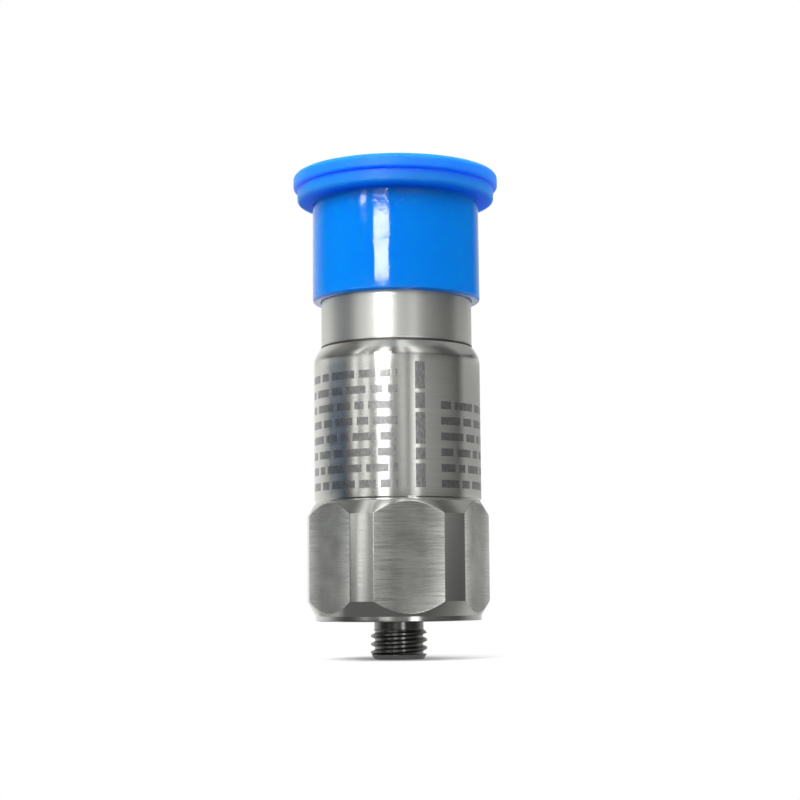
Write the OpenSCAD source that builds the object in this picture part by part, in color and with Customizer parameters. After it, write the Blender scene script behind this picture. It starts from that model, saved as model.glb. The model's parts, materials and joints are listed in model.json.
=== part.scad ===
// Stud-mounted vibration sensor: a shear accelerometer sealed in a stainless housing,
// with a two-pin threaded connector on top, covered by a push-on dust cap.
// The origin is the centre of the mounting face. The stud points down, the connector up.

/* [Hex and foot] */
// Width across the flats of the hex
hex_af = 19.05; // [18.95:0.05:24]
// Radial depth turned off each corner of the hex
corner_trim = 0.72; // [0.3:0.02:1.1]
// Height from the mounting face to the top of the hex
hex_h = 13.1; // [11.5:0.1:16]
// Angle of the turned chamfers on the hex, from the axis
chamfer_angle = 30; // [25:1:45]
// Diameter of the round foot
foot_d = 18.7; // [16:0.05:18.9]
// Height of the round foot
foot_h = 0.57; // [0.3:0.01:1.2]

/* [Body] */
// Diameter of the turned body
body_d = 18.92; // [18:0.02:18.94]
// Length of the body from the hex to the weld seam
body_l = 17.58; // [16:0.02:26]
// Width of the undercut between hex and body
undercut_w = 0.4; // [0.2:0.05:1]
// Depth of the undercut
undercut_depth = 0.12; // [0.05:0.01:0.4]
// Height of the bevelled shoulder under the weld seam
shoulder_h = 1.15; // [0.6:0.05:2]
// Radius that rounds the shoulder into the body
shoulder_edge = 1.2; // [0.2:0.1:3]
// Diameter of the bore that holds the sensing element
bore_d = 14.8; // [14.2:0.05:15.4]

/* [Mounting stud] */
// Thread diameter of the stud
stud_d = 6.35; // [6:0.05:8]
// How far the stud stands out of the mounting face
stud_reach = 4.28; // [3:0.02:8]
// How far the stud is screwed into the housing
stud_grip = 5.2; // [4:0.1:6]
// Diameter of the plain waist of the stud
waist_d = 5.56; // [5:0.02:5.8]
// Length of the waist below the mounting face
waist_l = 0.96; // [0.5:0.02:1.5]
// Length of the waist above the mounting face
waist_in = 0.6; // [0.3:0.05:1]
// Bevel at the ends of the stud's thread
stud_bevel = 0.4; // [0.2:0.02:0.6]
// Width across the flats of the key socket in the stud
key_af = 3.175; // [2.5:0.005:4]
// Depth of the key socket in the stud
key_depth = 2.4; // [1.5:0.1:3]
// Bevel round the mouth of the tapped hole
tap_bevel = 0.45; // [0.3:0.05:0.8]
// Depth of the tapped hole past the end of the stud
tap_runout = 0.5; // [0.2:0.05:1]
// Metal left between the tapped hole and the bore
floor_web = 2; // [1.2:0.1:3]

/* [Connector] */
// Diameter of the smooth neck
neck_d = 17.17; // [16.6:0.01:18]
// Length of the neck above the weld seam
neck_l = 7.92; // [6:0.02:12]
// Fillet where the neck meets the weld seam
neck_fillet = 0.16; // [0.05:0.01:0.25]
// Bevel on the upper edge of the neck
neck_bevel = 0.3; // [0.1:0.05:0.5]
// Outer diameter of the connector thread
thread_d = 15.875; // [15:0.005:16.4]
// Length of the connector thread
thread_l = 7.95; // [6:0.05:12]
// Bevel at the free end of the connector thread
thread_bevel = 0.5; // [0.2:0.05:0.8]
// Width of the relief groove under the connector thread
relief_w = 1.1; // [0.6:0.05:1.6]
// Depth of the relief groove
relief_depth = 0.7; // [0.4:0.05:0.9]
// Inner diameter of the connector shell
shell_bore_d = 12.2; // [11.6:0.05:12.6]
// Depth of the connector shell from its rim to the glass
shell_depth = 9.5; // [8:0.1:11]
// Width of the keyway inside the connector shell
keyway_w = 2.2; // [1.5:0.1:3]
// Depth of the keyway into the shell's wall
keyway_depth = 0.75; // [0.4:0.05:0.9]
// Length of the keyway from the rim
keyway_l = 6; // [4:0.1:7]
// Bevel inside the mouth of the connector shell
mouth_bevel = 0.3; // [0.1:0.05:0.6]
// Length of the spigot that fits the housing's bore
spigot_l = 2.2; // [1.5:0.1:3]
// Diameter of the wire passage below the glass
passage_d = 9.4; // [8.4:0.1:10]
// Diameter of the glass seal
glass_d = 10.8; // [10.4:0.05:11.4]
// Thickness of the glass seal
glass_t = 3.4; // [2.5:0.1:4.5]
// Diameter of the contact pins
pin_d = 1.57; // [1.2:0.01:2]
// Distance between the contact pins
pin_spacing = 4.8; // [4:0.1:5.6]
// Length of the pins above the glass
pin_reach = 6.6; // [5:0.1:8]
// Length of the pin tails below the glass
pin_tail = 3; // [2:0.1:4]

/* [Dust cap] */
// How far the cap's skirt reaches down over the neck
cap_grip = 2.46; // [1:0.02:5]
// Wall of the cap's skirt at the rim
cap_wall = 0.94; // [0.7:0.02:1.5]
// Draft of the skirt, taken off its outer radius at the top
cap_draft = 0.04; // [0:0.01:0.12]
// Overhang of the cap's lower disc past the skirt
step_overhang = 1.72; // [1:0.02:3]
// Thickness of the cap's lower disc
step_h = 1.58; // [1:0.02:3]
// Overhang of the cap's upper disc past the skirt
head_overhang = 2.17; // [1.2:0.02:4]
// Thickness of the cap's upper disc
head_h = 1.62; // [1:0.02:3]
// Edge radius of the cap's discs
disc_edge = 0.3; // [0.1:0.02:0.45]
// Edge radius of the skirt's rim
rim_edge = 0.35; // [0.1:0.05:0.45]
// Thickness of the cap's top
cap_roof = 1.5; // [1:0.1:2]
// Width of the inner ledge that stops on the connector's rim
ledge_w = 1.6; // [1:0.1:2.4]
// Diameter of the moulding gate's dimple in the cap's top
gate_d = 3; // [1.5:0.1:5]
// Depth of the gate's dimple
gate_depth = 0.3; // [0.1:0.05:0.6]

/* [Sensing element] */
// Thickness of the isolation disc
isolator_t = 0.6; // [0.4:0.05:1]
// Wall of the insulating sleeve
sleeve_wall = 0.3; // [0.2:0.05:0.5]
// Wall of the shield can
can_wall = 0.3; // [0.2:0.05:0.5]
// Room between the post and the roof of the can
can_headroom = 0.8; // [0.4:0.1:2]
// Thickness of the sensing base's flange
flange_t = 1; // [0.6:0.1:1.6]
// Height of the triangular post above the flange
post_h = 6; // [5.6:0.1:8]
// Distance from the axis to the flats of the post
post_flat = 1.9; // [1.7:0.05:2.1]
// Diameter that the corners of the post are turned to
post_d = 5.8; // [5.6:0.1:6.4]
// Thickness of each crystal
crystal_t = 0.8; // [0.5:0.05:1]
// Width of each crystal
crystal_w = 4; // [3:0.1:4.2]
// Height of each crystal
crystal_h = 4.6; // [3.6:0.1:4.8]
// Outer diameter of the three seismic masses together
mass_d = 9.8; // [9.4:0.1:10.8]
// Width of each seismic mass
mass_w = 6.4; // [5:0.1:6.8]
// Height of each seismic mass
mass_h = 5; // [4:0.1:5.4]
// Wall of the preload ring
ring_wall = 0.45; // [0.3:0.05:0.7]
// Height of the preload ring
ring_h = 4.2; // [3:0.1:4.8]

/* [Electronics] */
// Height of the board spacer
spacer_h = 4.6; // [3:0.1:6]
// Wall of the board spacer
spacer_wall = 0.8; // [0.5:0.1:1.4]
// Thickness of the circuit board
board_t = 1; // [0.6:0.1:1.6]
// Diameter of the wires
lead_d = 0.5; // [0.3:0.05:0.7]
// Diameter of the wire hole in the can's roof
lead_hole_d = 1.2; // [1:0.1:1.6]

/* [Fits] */
// Radial clearance of pieces that slide into each other
slip = 0.05; // [0.02:0.01:0.1]
// Thickness of a bonded or fused joint
bond = 0.02; // [0.01:0.005:0.05]

/* [Hidden] */
$fn = 96;

// Smallest overrun of a cut past the face that it opens
cut = 0.1;

// Radii of the turned outline
corner_r = hex_af / 2 / cos(30) - corner_trim;
foot_r = foot_d / 2;
body_r = body_d / 2;
neck_r = neck_d / 2;
stud_r = stud_d / 2;
bore_r = bore_d / 2;
seam_r = neck_r + neck_fillet;

// Heights of the housing
lower_cone_z = foot_h + max(0, corner_r - foot_r) / tan(chamfer_angle);
upper_cone_z = hex_h - max(0, corner_r - body_r) / tan(chamfer_angle);
floor_z = stud_grip + tap_runout + floor_web;
seam_z = hex_h + body_l;

// Heights and radii of the connector
neck_top_z = seam_z + neck_l;
thread_z = neck_top_z + relief_w;
shell_top_z = thread_z + thread_l;
glass_top_z = shell_top_z - shell_depth;
glass_z = glass_top_z - glass_t;
tail_z = glass_z - pin_tail;
spigot_z = seam_z - spigot_l;
thread_r = thread_d / 2;
shell_bore_r = shell_bore_d / 2;

// Heights and radii of the dust cap
cap_rim_z = neck_top_z - cap_grip;
cap_seat_z = shell_top_z + slip;
head_z = cap_seat_z + step_h;
cap_top_z = head_z + head_h;
cap_bore_r = max(neck_r, thread_r) + slip;
skirt_r = cap_bore_r + cap_wall;
skirt_top_r = skirt_r - cap_draft;

// Radii of the pieces that nest in the bore
sleeve_r = bore_r - slip;
sleeve_bore_r = sleeve_r - sleeve_wall;
can_r = sleeve_bore_r - slip;
can_bore_r = can_r - can_wall;
mass_r = mass_d / 2;
mass_flat = post_flat + crystal_t;
ring_bore_r = mass_r + bond;
ring_r = ring_bore_r + ring_wall;

// Heights of the pieces that stack up in the bore
isolator_top_z = floor_z + isolator_t;
flange_top_z = isolator_top_z + flange_t;
post_top_z = flange_top_z + post_h;
element_z = flange_top_z + post_h / 2;
can_roof_z = post_top_z + can_headroom;
can_top_z = can_roof_z + can_wall;
board_z = can_top_z + spacer_h;
board_top_z = board_z + board_t;
ring_top_z = element_z + ring_h / 2;

// Radius at which the crystal wire leaves the preload ring
lead_r = ring_bore_r + ring_wall / 2;
// How far the output wires' pads lie to the side of the pins
pad_offset = 3.8;

// Sizes of the parts soldered to the board
chip_size = [4.9, 3.9, 1.3];
chip_lift = 0.15;
chip_place = [0, -2.2];
chip_pitch = 1.27;
chip_legs_per_side = 4;
leg_w = 0.42;
leg_t = 0.2;
leg_span = 6;
leg_height = 0.7;
capacitor_size = [1.6, 3.2, 1.6];
capacitor_places = [[-4.3, 1.2], [4.3, 1.2]];
resistor_size = [0.8, 1.6, 0.5];
resistor_places = [[-1.2, 3.6], [0, 3.6], [1.2, 3.6]];

// Colours
steel = [0.74, 0.74, 0.72];
dark_steel = [0.30, 0.30, 0.31];
cap_blue = [0.02, 0.50, 0.95];
glass_green = [0.14, 0.24, 0.22];
gold = [0.86, 0.70, 0.36];
ceramic = [0.94, 0.93, 0.90];
piezo = [0.80, 0.74, 0.60];
tungsten = [0.45, 0.45, 0.47];
brass = [0.80, 0.66, 0.36];
amber_film = [0.80, 0.50, 0.15];
black_plastic = [0.10, 0.10, 0.11];
board_green = [0.08, 0.36, 0.20];
tan_ceramic = [0.66, 0.55, 0.42];
copper = [0.80, 0.45, 0.28];

// A bevelled cylinder on the axis, from z up to z + h
module bevelled(r, z, h, lower, upper) {
    rotate_extrude()
        polygon([
            [0, z], [r - lower, z], [r, z + lower],
            [r, z + h - upper], [r - upper, z + h], [0, z + h]
        ]);
}

// A tube on the axis
module tube(r, bore, z, h) {
    translate([0, 0, z])
        difference() {
            cylinder(r = r, h = h);
            translate([0, 0, -cut]) cylinder(r = bore, h = h + 2 * cut);
        }
}

// Half section of a disc with rounded edges
module disc_section(r, z, h, edge) {
    translate([0, z]) square([r - edge, h]);
    translate([0, z + edge]) square([r, h - 2 * edge]);
    for (edge_z = [z + edge, z + h - edge])
        translate([r - edge, edge_z]) circle(r = edge);
}

// A hexagonal prism with flats across Y
module hex_bar(af, h) {
    cylinder(d = af / cos(30), h = h, $fn = 6);
}

// Half section of the body's wall where its shoulder slopes in to the weld seam
function shoulder_points() =
    let (
        slope = atan2(body_r - seam_r, shoulder_h),
        start_z = seam_z - shoulder_h,
        centre = [body_r - shoulder_edge, start_z - shoulder_edge * tan(slope / 2)],
        steps = 5
    )
    slope <= 0 ? [[body_r, start_z]] :
    [
        for (step = [0 : steps])
            let (angle = slope * step / steps)
                centre + shoulder_edge * [cos(angle), sin(angle)]
    ];

// Housing as it is turned from bar: foot, cones, rounded corners, undercut, body and shoulder
module turned_blank() {
    groove_r = body_r - undercut_depth;
    rotate_extrude()
        polygon(concat(
            [
                [0, 0], [foot_r, 0], [foot_r, foot_h],
                [corner_r, lower_cone_z], [corner_r, upper_cone_z],
                [body_r, hex_h], [groove_r, hex_h + undercut_w / 3],
                [groove_r, hex_h + undercut_w * 2 / 3], [body_r, hex_h + undercut_w]
            ],
            shoulder_points(),
            [[seam_r, seam_z], [0, seam_z]]
        ));
}

// All that lies outside the six flats between the foot and the body
module outside_flats() {
    difference() {
        translate([0, 0, foot_h]) cylinder(r = corner_r + cut, h = hex_h - foot_h);
        hex_bar(hex_af, hex_h + cut);
    }
}

// Turned blank with six flats, bored from the top and tapped from below
module housing() {
    tap_r = stud_r + slip;
    color(steel)
        difference() {
            turned_blank();
            outside_flats();
            translate([0, 0, floor_z]) cylinder(r = bore_r, h = seam_z - floor_z + cut);
            translate([0, 0, -cut]) cylinder(r = tap_r, h = stud_grip + tap_runout + cut);
            rotate_extrude()
                polygon([[0, 0], [tap_r + tap_bevel, 0], [tap_r, tap_bevel], [0, tap_bevel]]);
        }
}

// Threaded stud with a plain waist at the mounting face and a key socket in its end
module mounting_stud() {
    waist_r = waist_d / 2;
    runout = stud_r - waist_r;
    color(dark_steel)
        difference() {
            rotate_extrude()
                polygon([
                    [0, -stud_reach], [stud_r - stud_bevel, -stud_reach], [stud_r, stud_bevel - stud_reach],
                    [stud_r, -waist_l - runout], [waist_r, -waist_l],
                    [waist_r, waist_in], [stud_r, waist_in + runout],
                    [stud_r, stud_grip - stud_bevel], [stud_r - stud_bevel, stud_grip], [0, stud_grip]
                ]);
            translate([0, 0, -stud_reach - cut]) hex_bar(key_af, key_depth + cut);
        }
}

// Smooth neck, threaded barrel and spigot of the connector, turned as one piece
module connector_shell() {
    color(steel)
        difference() {
            union() {
                translate([0, 0, spigot_z]) cylinder(r = bore_r - slip, h = spigot_l);
                rotate_extrude()
                    polygon([
                        [0, seam_z], [seam_r, seam_z], [neck_r, seam_z + neck_fillet * 2],
                        [neck_r, neck_top_z - neck_bevel], [neck_r - neck_bevel, neck_top_z], [0, neck_top_z]
                    ]);
                translate([0, 0, neck_top_z]) cylinder(r = thread_r - relief_depth, h = relief_w);
                bevelled(thread_r, thread_z, thread_l, relief_depth, thread_bevel);
            }
            translate([0, 0, spigot_z - cut]) cylinder(d = passage_d, h = glass_z - spigot_z + 2 * cut);
            translate([0, 0, glass_z]) cylinder(d = glass_d + 2 * bond, h = glass_t + cut);
            translate([0, 0, glass_top_z]) cylinder(r = shell_bore_r, h = shell_depth + cut);
            translate([-keyway_w / 2, 0, shell_top_z - keyway_l])
                cube([keyway_w, shell_bore_r + keyway_depth, keyway_l + cut]);
            translate([0, 0, shell_top_z - mouth_bevel])
                cylinder(r1 = shell_bore_r, r2 = shell_bore_r + mouth_bevel, h = mouth_bevel);
        }
}

// Both contact pins' places
module at_pins() {
    for (side = [-1, 1]) translate([side * pin_spacing / 2, 0, 0]) children();
}

// Glass fused into the shell round the two pins
module glass_seal() {
    color(glass_green)
        difference() {
            translate([0, 0, glass_z]) cylinder(d = glass_d, h = glass_t);
            at_pins() translate([0, 0, glass_z - cut]) cylinder(d = pin_d + 2 * bond, h = glass_t + 2 * cut);
        }
}

// A round-nosed pin with its tail below the glass
module contact_pin(side) {
    pin_r = pin_d / 2;
    color(gold)
        translate([side * pin_spacing / 2, 0, tail_z]) {
            cylinder(r = pin_r, h = pin_tail + glass_t + pin_reach - pin_r);
            translate([0, 0, pin_tail + glass_t + pin_reach - pin_r]) sphere(r = pin_r);
        }
}

module contact_pin_a() { contact_pin(-1); }

module contact_pin_b() { contact_pin(1); }

// Moulded push-on cap: a drafted skirt under two stepped discs, with a stop ledge inside
module dust_cap() {
    color(cap_blue)
        difference() {
            rotate_extrude() {
                disc_section(skirt_r + head_overhang, head_z, head_h, disc_edge);
                disc_section(skirt_r + step_overhang, cap_seat_z, step_h, disc_edge);
                polygon([
                    [0, cap_rim_z], [skirt_r - rim_edge, cap_rim_z],
                    [skirt_r - rim_edge, cap_rim_z + rim_edge], [skirt_r, cap_rim_z + rim_edge],
                    [skirt_top_r, cap_seat_z + step_h / 2], [0, cap_seat_z + step_h / 2]
                ]);
                translate([skirt_r - rim_edge, cap_rim_z + rim_edge]) circle(r = rim_edge);
                translate([0, head_z - step_h / 2]) square([skirt_r, step_h]);
            }
            translate([0, 0, cap_rim_z - cut]) cylinder(r = cap_bore_r, h = cap_seat_z - cap_rim_z + cut);
            translate([0, 0, cap_rim_z])
                cylinder(r = cap_bore_r - ledge_w, h = cap_top_z - cap_roof - cap_rim_z);
            translate([0, 0, cap_top_z - gate_depth]) cylinder(d = gate_d, h = gate_depth + cut);
        }
}

// Plastic tube that lines the bore from its floor to the connector's spigot
module insulating_sleeve() {
    color(amber_film)
        tube(sleeve_r, sleeve_bore_r, floor_z + slip, spigot_z - floor_z - 2 * slip);
}

// Ceramic disc that keeps the sensing element off the housing
module isolation_disc() {
    color(ceramic)
        translate([0, 0, floor_z]) cylinder(r = sleeve_bore_r - slip, h = isolator_t);
}

// Round flange with a triangular post that carries the three crystals
module sensing_base() {
    color(brass) {
        translate([0, 0, isolator_top_z]) cylinder(r = can_bore_r - bond, h = flange_t);
        translate([0, 0, flange_top_z])
            intersection() {
                cylinder(d = post_d, h = post_h);
                rotate([0, 0, 60]) cylinder(r = 2 * post_flat, h = post_h, $fn = 3);
            }
    }
}

// Turns a piece to one of the three flats of the post
module on_post_flat(index) {
    rotate([0, 0, 120 * index]) translate([0, 0, element_z]) children();
}

// A flat shear crystal against the post
module crystal(index) {
    color(piezo)
        on_post_flat(index)
            translate([post_flat, -crystal_w / 2, -crystal_h / 2]) cube([crystal_t, crystal_w, crystal_h]);
}

module crystal_1() { crystal(0); }

module crystal_2() { crystal(1); }

module crystal_3() { crystal(2); }

// A seismic mass: flat against its crystal and round on the outside
module seismic_mass(index) {
    color(tungsten)
        on_post_flat(index)
            translate([0, 0, -mass_h / 2])
                intersection() {
                    cylinder(r = mass_r, h = mass_h);
                    translate([mass_flat, -mass_w / 2, 0]) cube([mass_r, mass_w, mass_h]);
                }
}

module seismic_mass_1() { seismic_mass(0); }

module seismic_mass_2() { seismic_mass(1); }

module seismic_mass_3() { seismic_mass(2); }

// Shrunk-on ring that clamps masses and crystals to the post
module preload_ring() {
    color(steel) tube(ring_r, ring_bore_r, ring_top_z - ring_h, ring_h);
}

// Drawn can over the sensing element, with a hole for the crystal wire
module shield_can() {
    rim_z = isolator_top_z + slip;
    color(brass)
        difference() {
            translate([0, 0, rim_z]) cylinder(r = can_r, h = can_top_z - rim_z);
            translate([0, 0, rim_z - cut]) cylinder(r = can_bore_r, h = can_roof_z - rim_z + cut);
            translate([lead_r, 0, can_roof_z - cut]) cylinder(d = lead_hole_d, h = can_wall + 2 * cut);
        }
}

// Plastic ring that carries the board above the can
module board_spacer() {
    color(black_plastic) tube(can_r, can_r - spacer_wall, can_top_z, spacer_h);
}

// Round amplifier board
module circuit_board() {
    color(board_green)
        translate([0, 0, board_z]) cylinder(r = can_r, h = board_t);
}

// A block of the given size that stands on the board at a place
module on_board(place, size, lift = 0) {
    translate([place.x - size.x / 2, place.y - size.y / 2, board_top_z + lift]) cube(size);
}

// Amplifier chip with bent legs along two sides
module amplifier_chip() {
    leg_reach = (leg_span - chip_size.y) / 2;
    color(black_plastic) {
        on_board(chip_place, chip_size, chip_lift);
        for (side = [-1, 1], index = [0 : chip_legs_per_side - 1]) {
            leg_x = chip_place.x + (index - (chip_legs_per_side - 1) / 2) * chip_pitch;
            shank_y = chip_place.y + side * (chip_size.y + leg_reach) / 2;
            foot_y = chip_place.y + side * (leg_span - leg_t) / 2;
            on_board([leg_x, shank_y], [leg_w, leg_reach, leg_t], leg_height);
            on_board([leg_x, foot_y], [leg_w, leg_t, leg_height + leg_t]);
        }
    }
}

module chip_capacitors() {
    color(tan_ceramic)
        for (place = capacitor_places) on_board(place, capacitor_size);
}

module chip_resistors() {
    color(black_plastic)
        for (place = resistor_places) on_board(place, resistor_size);
}

// Straight wire from the preload ring through the can to the board
module crystal_lead() {
    color(copper)
        translate([lead_r, 0, ring_top_z]) cylinder(d = lead_d, h = board_z - ring_top_z);
}

// Smooth step from 0 to 1
function ease(t) = t * t * (3 - 2 * t);

// A round wire swept through the given points, which run upwards
module wire(points, d) {
    sides = 8;
    last = len(points) - 1;
    rings = [
        for (point = points, side = [0 : sides - 1])
            point + d / 2 * [cos(360 * side / sides), sin(360 * side / sides), 0]
    ];
    walls = [
        for (ring = [0 : last - 1], side = [0 : sides - 1])
            let (
                next = (side + 1) % sides,
                lower = ring * sides,
                upper = lower + sides
            )
                [lower + side, upper + side, upper + next, lower + next]
    ];
    floor_face = [for (side = [0 : sides - 1]) side];
    roof_face = [for (side = [sides - 1 : -1 : 0]) last * sides + side];
    polyhedron(points = rings, faces = concat([floor_face, roof_face], walls));
}

// Slack wire from a pad on the board up to the tail of a pin
module output_lead(side) {
    steps = 12;
    color(copper)
        wire([
            for (step = [0 : steps])
                let (
                    t = step / steps,
                    y = pad_offset * (1 - ease(t)),
                    z = board_top_z + t * (tail_z - board_top_z)
                )
                    [side * pin_spacing / 2, y, z]
        ], lead_d);
}

module output_lead_a() { output_lead(-1); }

module output_lead_b() { output_lead(1); }

housing();
mounting_stud();
connector_shell();
glass_seal();
contact_pin_a();
contact_pin_b();
dust_cap();
insulating_sleeve();
isolation_disc();
sensing_base();
crystal_1();
crystal_2();
crystal_3();
seismic_mass_1();
seismic_mass_2();
seismic_mass_3();
preload_ring();
shield_can();
board_spacer();
circuit_board();
amplifier_chip();
chip_capacitors();
chip_resistors();
crystal_lead();
output_lead_a();
output_lead_b();
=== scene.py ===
"""Vibration sensor on a white stage: steel housing, threaded stud, connector and blue push-on cap."""

import json
import math

import bpy
from mathutils import Matrix, Vector


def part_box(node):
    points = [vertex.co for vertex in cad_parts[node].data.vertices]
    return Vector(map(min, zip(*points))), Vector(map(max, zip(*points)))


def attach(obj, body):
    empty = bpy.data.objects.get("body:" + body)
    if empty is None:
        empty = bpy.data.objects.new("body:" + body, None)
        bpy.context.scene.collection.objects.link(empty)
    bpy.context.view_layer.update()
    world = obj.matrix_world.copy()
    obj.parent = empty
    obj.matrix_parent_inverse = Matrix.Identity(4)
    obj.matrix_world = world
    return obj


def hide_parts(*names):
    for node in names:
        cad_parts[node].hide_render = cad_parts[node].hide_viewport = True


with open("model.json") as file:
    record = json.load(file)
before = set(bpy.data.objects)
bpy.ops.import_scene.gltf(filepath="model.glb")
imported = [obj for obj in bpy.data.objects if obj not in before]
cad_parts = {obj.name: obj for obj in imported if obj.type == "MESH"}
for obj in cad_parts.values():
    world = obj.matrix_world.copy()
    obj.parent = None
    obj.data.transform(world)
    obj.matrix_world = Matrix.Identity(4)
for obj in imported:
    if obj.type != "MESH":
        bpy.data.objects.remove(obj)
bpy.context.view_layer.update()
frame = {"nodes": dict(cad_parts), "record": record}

bl_info = {
    "name": "Vibration sensor",
    "version": (1, 0, 0),
    "blender": (4, 5, 0),
    "location": "View3D > Sidebar > Sensor",
    "description": "Models the visible pieces of a stud-mounted vibration sensor and its stage",
    "category": "Object",
}

# One millimetre in scene units
MM = 0.001
# Vertices closer than this are welded
WELD = 0.001 * MM
# Faces round a turned piece, and round a pin or one turn of a thread
SEGMENTS = 216
SMALL_SEGMENTS = SEGMENTS // 3
# Largest turn of an outline between two points of a rounded corner
ROUND_STEP = math.radians(9)
# Edges that turn more than this stay crisp
CRISP_ANGLE = math.radians(14)

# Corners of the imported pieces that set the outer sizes
HOUSING_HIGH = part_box("housing")[1]
STUD_LOW, STUD_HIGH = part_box("mounting_stud")
SHELL_LOW, SHELL_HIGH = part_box("connector_shell")
GLASS_LOW, GLASS_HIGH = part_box("glass_seal")
PIN_LOW, PIN_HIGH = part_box("contact_pin_b")
CAP_LOW, CAP_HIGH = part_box("dust_cap")


def linear(code):
    """Linear RGB of an sRGB hex colour such as #2080F0."""
    shares = [int(code[place:place + 2], 16) / 255 for place in (1, 3, 5)]
    return tuple(s / 12.92 if s <= 0.04045 else ((s + 0.055) / 1.055) ** 2.4 for s in shares)


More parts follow.
